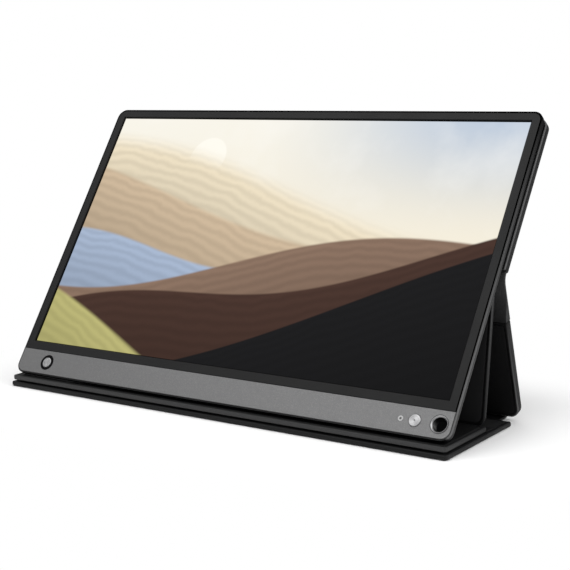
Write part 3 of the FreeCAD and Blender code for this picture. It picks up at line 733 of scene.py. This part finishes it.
class MONITOR_OT_cover_panels(bpy.types.Operator):
    """Wrapped skins and linings of the five stiff panels, and the rim of the upper one"""

    bl_idname = "monitor.cover_panels"
    bl_label = "Cover panels"

    def execute(self, context):
        look = context.scene.monitor_cover
        skin = leatherette("leatherette", look.skin_colour, look.edge_highlight_colour)
        fold_unlit_run, free_run = 4 * MM, 6 * MM
        for name, (turn, body, low_end, high_end, inner_corner_highlight, side_highlight, highlight_kept, share) in PANELS.items():
            # Painted light: the share lightens the lining's colour, on the brace for a face that lies in
            # shade
            lining = nap(name + "_nap", shade_of(look.lining_colour, share))
            half, low, high, front, back = panel_extent(name + "_skin", turn)
            rounds = [getattr(look, end) for end in (low_end, high_end)]
            inner_round = look.rim_round if name == "upper" else look.edge_round
            profile, corner, side = self.skin_profile(look, front, back, inner_round)
            flat = panel_rings(half, low, high, *rounds, profile)
            edge = side_highlight * side + (inner_corner_highlight - side_highlight) * corner
            folded, free = (low, high) if low_end == "fold_round" else (high, low)
            from_fold, from_free = [np.abs(flat[..., 2] - end) for end in (folded, free)]
            # The brace's painted highlight is strongest at its fold; the other panels have theirs only away
            # from their folds
            highlight_reach = from_free / (high - low) if name == "brace" else np.clip(from_fold / fold_unlit_run, 0, 1) ** 2
            edge = edge[:, None] * highlight_reach * (1 - (1 - highlight_kept) * np.clip(from_free / free_run, 0, 1))
            rings = to_shared(flat, turn)
            cover = add_rings(name + "_cover", rings, skin, edge)
            ride_for(cover, body, "leatherette", name + "_skin")
            profile = self.lining_profile(look, front)
            rings = to_shared(panel_rings(half, low, high, *rounds, profile), turn)
            sheet = add_rings(name + "_inner", rings, lining)
            ride_for(sheet, body, "lining_fabric", name + "_lining")
        self.add_upper_rim(look, skin)
        return {"FINISHED"}

    @staticmethod
    def add_upper_rim(look, skin):
        """The upper panel's thicker edge against the housing: down both sides and over the top."""
        half, low, high, front, back = panel_extent("upper_rim", SCREEN_TURN)
        width = 6 * MM
        roll, joint = look.edge_round, look.rim_round
        rolled = np.stack([roll * (1 - np.cos(ROLL_TURN)), front + roll * (1 - np.sin(ROLL_TURN))], -1)
        profile = np.concatenate([[(joint, back), (0.0, back - joint)], rolled,
                                  [(width - joint, front), (width, front + joint), (width, back)]])
        # Painted highlight along the middle of the rim's rolled front corner
        edge = np.concatenate([np.zeros(2), np.sin(2 * ROLL_TURN), np.zeros(3)])
        loops = panel_rings(half, low, high, look.fold_round, look.outer_round, profile)
        open_loops = loops[:, CORNER_STEPS - 1:3 * CORNER_STEPS + 1]
        open_loops[:, [0, -1], 2] = low
        rings = to_shared(np.swapaxes(open_loops, 0, 1), SCREEN_TURN)
        weights = np.broadcast_to(edge, rings.shape[:2])
        ride_for(add_rings("upper_edge", rings, skin, weights), "screen", "leatherette", "upper_rim")

    @staticmethod
    def skin_profile(look, front, back, inner_round):
        """Recess, wrapped rim, two rolls, pressed line and outer face, and the weights of the painted
        highlight on the rolls.
        """
        fullest, least_highlight = 0.46, 0.25
        roll = min(look.edge_round, (back - front) * fullest)
        inner_radius = min(inner_round, roll)
        rising, falling = np.sin(ROLL_TURN), np.cos(ROLL_TURN)
        wrap, recess = look.edge_wrap, look.recess
        line, depth = look.groove_inset, look.groove_depth
        inner = [(wrap + 0.6 * MM, front + recess), (wrap, front + recess),
                 (wrap - 0.2 * MM, front + recess * 0.4), (wrap - 0.5 * MM, front)]
        inner_roll = np.stack([inner_radius * (1 - rising), front + inner_radius * (1 - falling)], -1)
        outer_roll = np.stack([roll * (1 - falling), back - roll * (1 - rising)], -1)
        outer = [(line - 0.5 * MM, back), (line - 0.15 * MM, back - depth), (line + 0.15 * MM, back - depth),
                 (line + 0.5 * MM, back), (line + 2 * MM, back)]
        profile = np.concatenate([inner, inner_roll, outer_roll, outer])
        before, after = np.zeros(len(inner)), np.zeros(len(outer))
        # Painted highlight weights: for the side over both rolls, and for the inner corner at the middle of
        # the inner roll
        rolls = least_highlight + (1 - least_highlight) * np.concatenate([rising, falling])
        side = np.concatenate([before, rolls, after]) ** 1.5
        corner = np.concatenate([before, np.sin(2 * ROLL_TURN), np.zeros(len(outer_roll)), after])
        return profile, corner, side

    @staticmethod
    def lining_profile(look, front):
        """A thin sheet with a softened rim, set just below the wrapped edge."""
        inset = look.edge_wrap + 0.05 * MM
        top = front + 0.08 * MM
        under = front + look.recess + 0.1 * MM
        return [(inset + 1.2 * MM, top), (inset + 0.3 * MM, top), (inset + 0.05 * MM, top + 0.08 * MM),
                (inset, top + 0.2 * MM), (inset, under)]


class MONITOR_OT_fold_cloths(bpy.types.Operator):
    """Cloth in the folds: behind the screen, at the foot, behind the flap and at the head of the brace"""

    bl_idname = "monitor.fold_cloths"
    bl_label = "Fold cloths"

    def execute(self, context):
        look = context.scene.monitor_cover
        skin = leatherette("fold_leatherette", look.skin_colour, look.edge_highlight_colour)
        leg_up, leg_back = panel_up(LEG_TURN), panel_back(LEG_TURN)
        screen_up, brace_up = panel_up(SCREEN_TURN), panel_up(BRACE_TURN)
        thin = 0.8 * look.cloth_thick
        # Behind the screen, thickened to the leg's own depth at the lower end
        half, _, _, front, back = panel_extent("leg_skin", LEG_TURN)
        low = panel_extent("leg_fold_cloth", LEG_TURN)[1]
        top = panel_extent("upper_fold_cloth", SCREEN_TURN)[2]
        start = CREASE + leg_up * (low - to_panel(np.array([0.0, *CREASE]), LEG_TURN)[2])
        end = CREASE + screen_up * (top - to_panel(np.array([0.0, *CREASE]), SCREEN_TURN)[2])
        near, beyond = 5 * MM, 3.5 * MM
        path = bent_path(start, CREASE, end, near, beyond)
        self.add_fold("screen_fold_cloth", path, look.cloth_thick, half, skin, "leg", "screen",
                      CREASE - leg_up * near, CREASE + screen_up * beyond,
                      ("leg_fold_cloth", "upper_fold_cloth", "crease_roll"),
                      wedge=back - front - look.cloth_thick, wedge_run=14 * MM, inside=look.fold_inside_light)
        # Along the table and up to the leg
        half, _, _, front, back = panel_extent("spine_strip", BASE_TURN)
        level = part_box("spine_strip")[1].z - (back - front) / 2
        start = np.array([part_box("spine_strip")[0].y, level])
        rise = (level - FOOT[1]) / leg_up[1]
        end = FOOT + leg_up * 2.3 * MM - leg_back * 0.5 * MM
        path = bent_path(start, FOOT + leg_up * rise, end, 2.2 * MM, 2.0 * MM)
        self.add_fold("spine_cloth", path, 1.4 * look.cloth_thick, half, skin, "base", "leg",
                      FOOT - np.array([1.2 * MM, 0.0]), FOOT + leg_up * 2 * MM, ("spine_strip", "foot_roll"))
        # Behind the flap, just clear of the base
        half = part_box("flap_roll")[1].x
        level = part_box("base_skin")[1].z + thin / 2 + 0.05 * MM
        start = np.array([FLAP_BACK[0] + 9 * MM, level])
        end = np.array([FLAP_BACK[0] - 1.65 * MM, FLAP_BACK[1] + 1.1 * MM])
        path = bent_path(start, (FLAP_BACK[0] + 0.6 * MM, level), end, 2 * MM, 1.2 * MM)
        self.add_fold("flap_fold_cloth", path, thin, half, skin, "base", "flap",
                      FLAP_BACK + np.array([1.0 * MM, 0.0]), end, ("flap_roll",))
        # From the leg's tab down to the brace
        half, _, _, _, back = panel_extent("brace_tab", LEG_TURN)
        start = BRACE_TOP + leg_back * (back - to_panel(np.array([0.0, *BRACE_TOP]), LEG_TURN)[1])
        end = BRACE_TOP - brace_up * 6.5 * MM
        path = bent_path(start, BRACE_TOP, end, 1.4 * MM, 1.2 * MM)
        self.add_fold("brace_fold_cloth", path, thin, half, skin, "leg", "brace",
                      BRACE_TOP + leg_back * 0.8 * MM, BRACE_TOP - brace_up * 1.6 * MM,
                      ("brace_tab", "brace_roll"))
        return {"FINISHED"}

    @staticmethod
    def add_fold(name, path, thick, half, skin, one, other, start, end, nodes,
                 wedge=0.0, wedge_run=1.0, inside=0.0):
        """One strip that bends between two bodies, with painted light on its inside that grows stronger
        along the path.
        """
        rings = strip_rings(path, thick, half, wedge, wedge_run)
        walked = walked_along(path)
        run = float(walked[-1])
        edge = np.zeros(rings.shape[:2])
        # Painted light: the inside takes the lighter edge colour, more of it along the path
        edge[:, :len(path)] = inside * np.interp(walked, [0.0, 0.6 * run], [0.3, 1.0])
        piece = add_rings(name, rings, skin, edge)
        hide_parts(*nodes)
        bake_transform(piece)


class MONITOR_OT_screen_body(bpy.types.Operator):
    """Finishes of the housing, the frame, the bar and the lit picture"""

    bl_idname = "monitor.screen_body"
    bl_label = "Screen body"

    def execute(self, context):
        look = context.scene.monitor_screen
        extent = panel_extent("rear_housing", SCREEN_TURN)
        housing = moulded("housing_plastic", look.housing_colour, look.housing_roughness, 0.35 * MM)
        painted_corner_highlight(housing, extent, look.housing_gloss, look.corner_highlight_colour)
        dress(["rear_housing"], housing)
        half, _, top, _, _ = panel_extent("bezel_frame", SCREEN_TURN)
        bezel = moulded("bezel_plastic", look.bezel_colour, 0.45, 0.25 * MM, 0.16)
        painted_gap_shade(bezel, half, top, corner=6 * MM, line=look.gap_shade_width)
        dress(["bezel_frame"], bezel)
        dress(["chin_bar"], blasted_bar("blasted_bar", look.bar_colour))
        low, high = panel_corners("lcd_cell", SCREEN_TURN)
        dress(["lcd_cell"], dune_picture("dune_picture", low, high, look.border, look.glow))
        return {"FINISHED"}


class MONITOR_OT_controls(bpy.types.Operator):
    """Finishes of the buttons, the ring, the lamp and the pen bush"""

    bl_idname = "monitor.controls"
    bl_label = "Controls"

    def execute(self, context):
        look = context.scene.monitor_screen
        for name, share, bright_from, bright_to, dim_share in (
                ("menu_button_cap", 1.0, 0.0, 4.0 * MM, 0.75),
                ("power_button_cap", 1.25, 0.5 * MM, 4.2 * MM, 0.5),
                ("pen_bush", 1.2, 4.7 * MM, 5.5 * MM, 0.6)):
            low, high = panel_corners(name, SCREEN_TURN)
            colour = shade_of(look.metal_colour, share)
            metal = spun_metal(name + "_metal", colour, (low + high) / 2, bright_from, bright_to, dim_share)
            dress([name], metal)
        dress(["menu_button_ring"], moulded("ring_plastic", (0.0015, 0.0015, 0.0016), 0.35, 0.4 * MM, 0.05))
        low, high = panel_corners("lamp_light_pipe", SCREEN_TURN)
        radius = (high - low)[0] / 2
        dress(["lamp_light_pipe"], lamp_lens("lamp_plastic", (low + high) / 2, radius))
        return {"FINISHED"}


class MONITOR_OT_inner_parts(bpy.types.Operator):
    """Finishes of the layers, boards, cables, socket and stiffeners inside"""

    bl_idname = "monitor.inner_parts"
    bl_label = "Inner parts"

    def execute(self, context):
        dress(["diffuser_film", "light_guide"], clear_plastic("guide_plastic", (0.86, 0.88, 0.88)))
        dress(["lamp_strip"], clear_plastic("lamp_strip_plastic", (0.9, 0.9, 0.82)))
        dress(["mirror_sheet"], rolled_metal("mirror_film", (0.9, 0.9, 0.91), 0.12))
        dress(["panel_tray", "usb_socket", "key_switches", "board_screws"],
              rolled_metal("plated_steel", (0.6, 0.6, 0.61), 0.34))
        dress(["io_board", "key_board", "main_board"], circuit_board("solder_mask", (0.02, 0.13, 0.06)))
        dress(["board_chips"], moulded("chip_plastic", (0.012, 0.012, 0.012), 0.5, 0.3 * MM))
        dress(["display_flex", "io_flex", "key_flex"], clear_plastic("flex_film", (0.42, 0.2, 0.04)))
        dress(["bond_sheet"], moulded("bond_rubber", (0.03, 0.03, 0.03), 0.7, 0.5 * MM))
        dress([name + "_board" for name in PANELS], pressed_board("pulp_board", (0.28, 0.27, 0.25)))
        return {"FINISHED"}


class MONITOR_OT_stage(bpy.types.Operator):
    """Floor, lamps, world and camera"""

    bl_idname = "monitor.stage"
    bl_label = "Stage"

    def execute(self, context):
        look = context.scene.monitor_stage
        self.add_floor(look)
        self.add_world(context.scene)
        self.add_lamp("key_lamp", look.key_power, side=1.6, place=(-0.35, -0.75, 1.55))
        self.add_lamp("side_lamp", look.side_power, side=1.0, place=(1.25, 0.15, 0.75))
        self.add_camera(context.scene, look)
        context.scene.view_settings.view_transform = "Standard"
        return {"FINISHED"}

    @staticmethod
    def add_floor(look):
        """A large square that turns white round the object's footprint, for the eye and for reflections."""
        reach, level, white_from = 6.0, -0.3 * MM, 0.09
        mesh = bpy.data.meshes.new("floor")
        corners = [(x * reach, y * reach, level) for x, y in ((-1, -1), (1, -1), (1, 1), (-1, 1))]
        mesh.from_pydata(corners, [], [(0, 1, 2, 3)])
        floor = add_object("floor", mesh)
        material, shader = new_finish("floor_paper", look.floor_colour, 0.9, specular=0.1)
        sides = parts_of(material, object_place(material))
        across, along = [math_node(material, "ABSOLUTE", sides[name]) for name in ("X", "Y")]
        away = past_corner(material, across, CAD_BOX[1][0], along, CAD_BOX[1][1])
        far = map_range(material, away, 0.0, white_from, smooth=True)
        ray = add_node(material, "ShaderNodeLightPath")
        seen = math_node(material, "MAXIMUM", ray.outputs["Is Camera Ray"], ray.outputs["Is Glossy Ray"])
        seen = math_node(material, "MAXIMUM", seen, ray.outputs["Is Transmission Ray"])
        white = add_node(material, "ShaderNodeEmission", {"Color": (1.0, 1.0, 1.0, 1.0), "Strength": 1.0})
        share = math_node(material, "MULTIPLY", far, seen)
        mixed = add_node(material, "ShaderNodeMixShader", {0: share, 1: shader.outputs["BSDF"],
                                                          2: white.outputs["Emission"]})
        output = material.node_tree.nodes["Material Output"]
        feed(output, "Surface", mixed.outputs["Shader"])
        mesh.materials.append(material)

    @staticmethod
    def add_world(scene):
        """White to the eye; as light, bright overhead and dim near the horizon."""
        world = bpy.data.worlds.new("studio")
        world.use_nodes = True
        scene.world = world
        background = world.node_tree.nodes["Background"]
        background.inputs["Color"].default_value = (1.0, 1.0, 1.0, 1.0)
        ray = add_node(world, "ShaderNodeLightPath")
        seen = math_node(world, "MAXIMUM", ray.outputs["Is Camera Ray"], ray.outputs["Is Transmission Ray"])
        way = add_node(world, "ShaderNodeTexCoord").outputs["Generated"]
        sky = map_range(world, parts_of(world, way)["Z"], 0.0, 0.9, 0.3, 1.0, smooth=True)
        feed(background, "Strength", math_node(world, "MAXIMUM", sky, seen))

    @staticmethod
    def add_lamp(name, power, side, place):
        """A square soft lamp that faces the middle of the object."""
        light = bpy.data.lights.new(name, "AREA")
        light.energy = power
        light.size = side
        lamp = add_object(name, light)
        middle = (np.array(CAD_BOX[0]) + np.array(CAD_BOX[1])) / 2
        away = np.array(place) - middle
        level = math.hypot(away[0], away[1])
        lamp.location = place
        lamp.rotation_euler = (math.atan2(level, away[2]), 0.0, math.atan2(away[0], -away[1]))

    @staticmethod
    def add_camera(scene, look):
        """The photograph's eye point and angle of view."""
        lens = bpy.data.cameras.new("camera")
        lens.sensor_width = 36.0
        lens.lens = lens.sensor_width * look.focal_pixels / IMAGE_SIDE
        lens.shift_y = look.drop_pixels / IMAGE_SIDE
        camera = add_object("camera", lens)
        camera.location = look.eye
        aim = mathutils.Euler((math.pi / 2 - look.elevation, 0.0, look.azimuth)).to_matrix()
        camera.rotation_euler = (aim @ mathutils.Matrix.Rotation(-look.roll, 3, "Z")).to_euler()
        scene.camera = camera


class MONITOR_PT_sidebar(bpy.types.Panel):
    """The pieces in the order they are built"""

    bl_idname = "MONITOR_PT_sidebar"
    bl_label = "Portable monitor"
    bl_space_type = "VIEW_3D"
    bl_region_type = "UI"
    bl_category = "Monitor"

    def draw(self, context):
        for operator in OPERATORS:
            self.layout.operator(operator.bl_idname)
        for group in GROUPS:
            settings = getattr(context.scene, group)
            for name in settings.__annotations__:
                self.layout.prop(settings, name)


OPERATORS = (MONITOR_OT_cover_panels, MONITOR_OT_fold_cloths, MONITOR_OT_screen_body, MONITOR_OT_controls,
             MONITOR_OT_inner_parts, MONITOR_OT_stage)
GROUPS = {"monitor_cover": CoverLook, "monitor_screen": ScreenLook, "monitor_stage": StageLook}


def register():
    """Adds the settings, the operators and the panel."""
    for group in GROUPS.values():
        bpy.utils.register_class(group)
    for name, group in GROUPS.items():
        setattr(bpy.types.Scene, name, bpy.props.PointerProperty(type=group))
    for operator in OPERATORS:
        bpy.utils.register_class(operator)
    bpy.utils.register_class(MONITOR_PT_sidebar)


def unregister():
    """Takes away the panel, the operators and the settings."""
    bpy.utils.unregister_class(MONITOR_PT_sidebar)
    for operator in OPERATORS:
        bpy.utils.unregister_class(operator)
    for name, group in GROUPS.items():
        delattr(bpy.types.Scene, name)
        bpy.utils.unregister_class(group)


def main():
    """Builds every piece."""
    register()
    bpy.ops.monitor.cover_panels()
    bpy.ops.monitor.fold_cloths()
    bpy.ops.monitor.screen_body()
    bpy.ops.monitor.controls()
    bpy.ops.monitor.inner_parts()
    bpy.ops.monitor.stage()


if __name__ == "__main__":
    main()
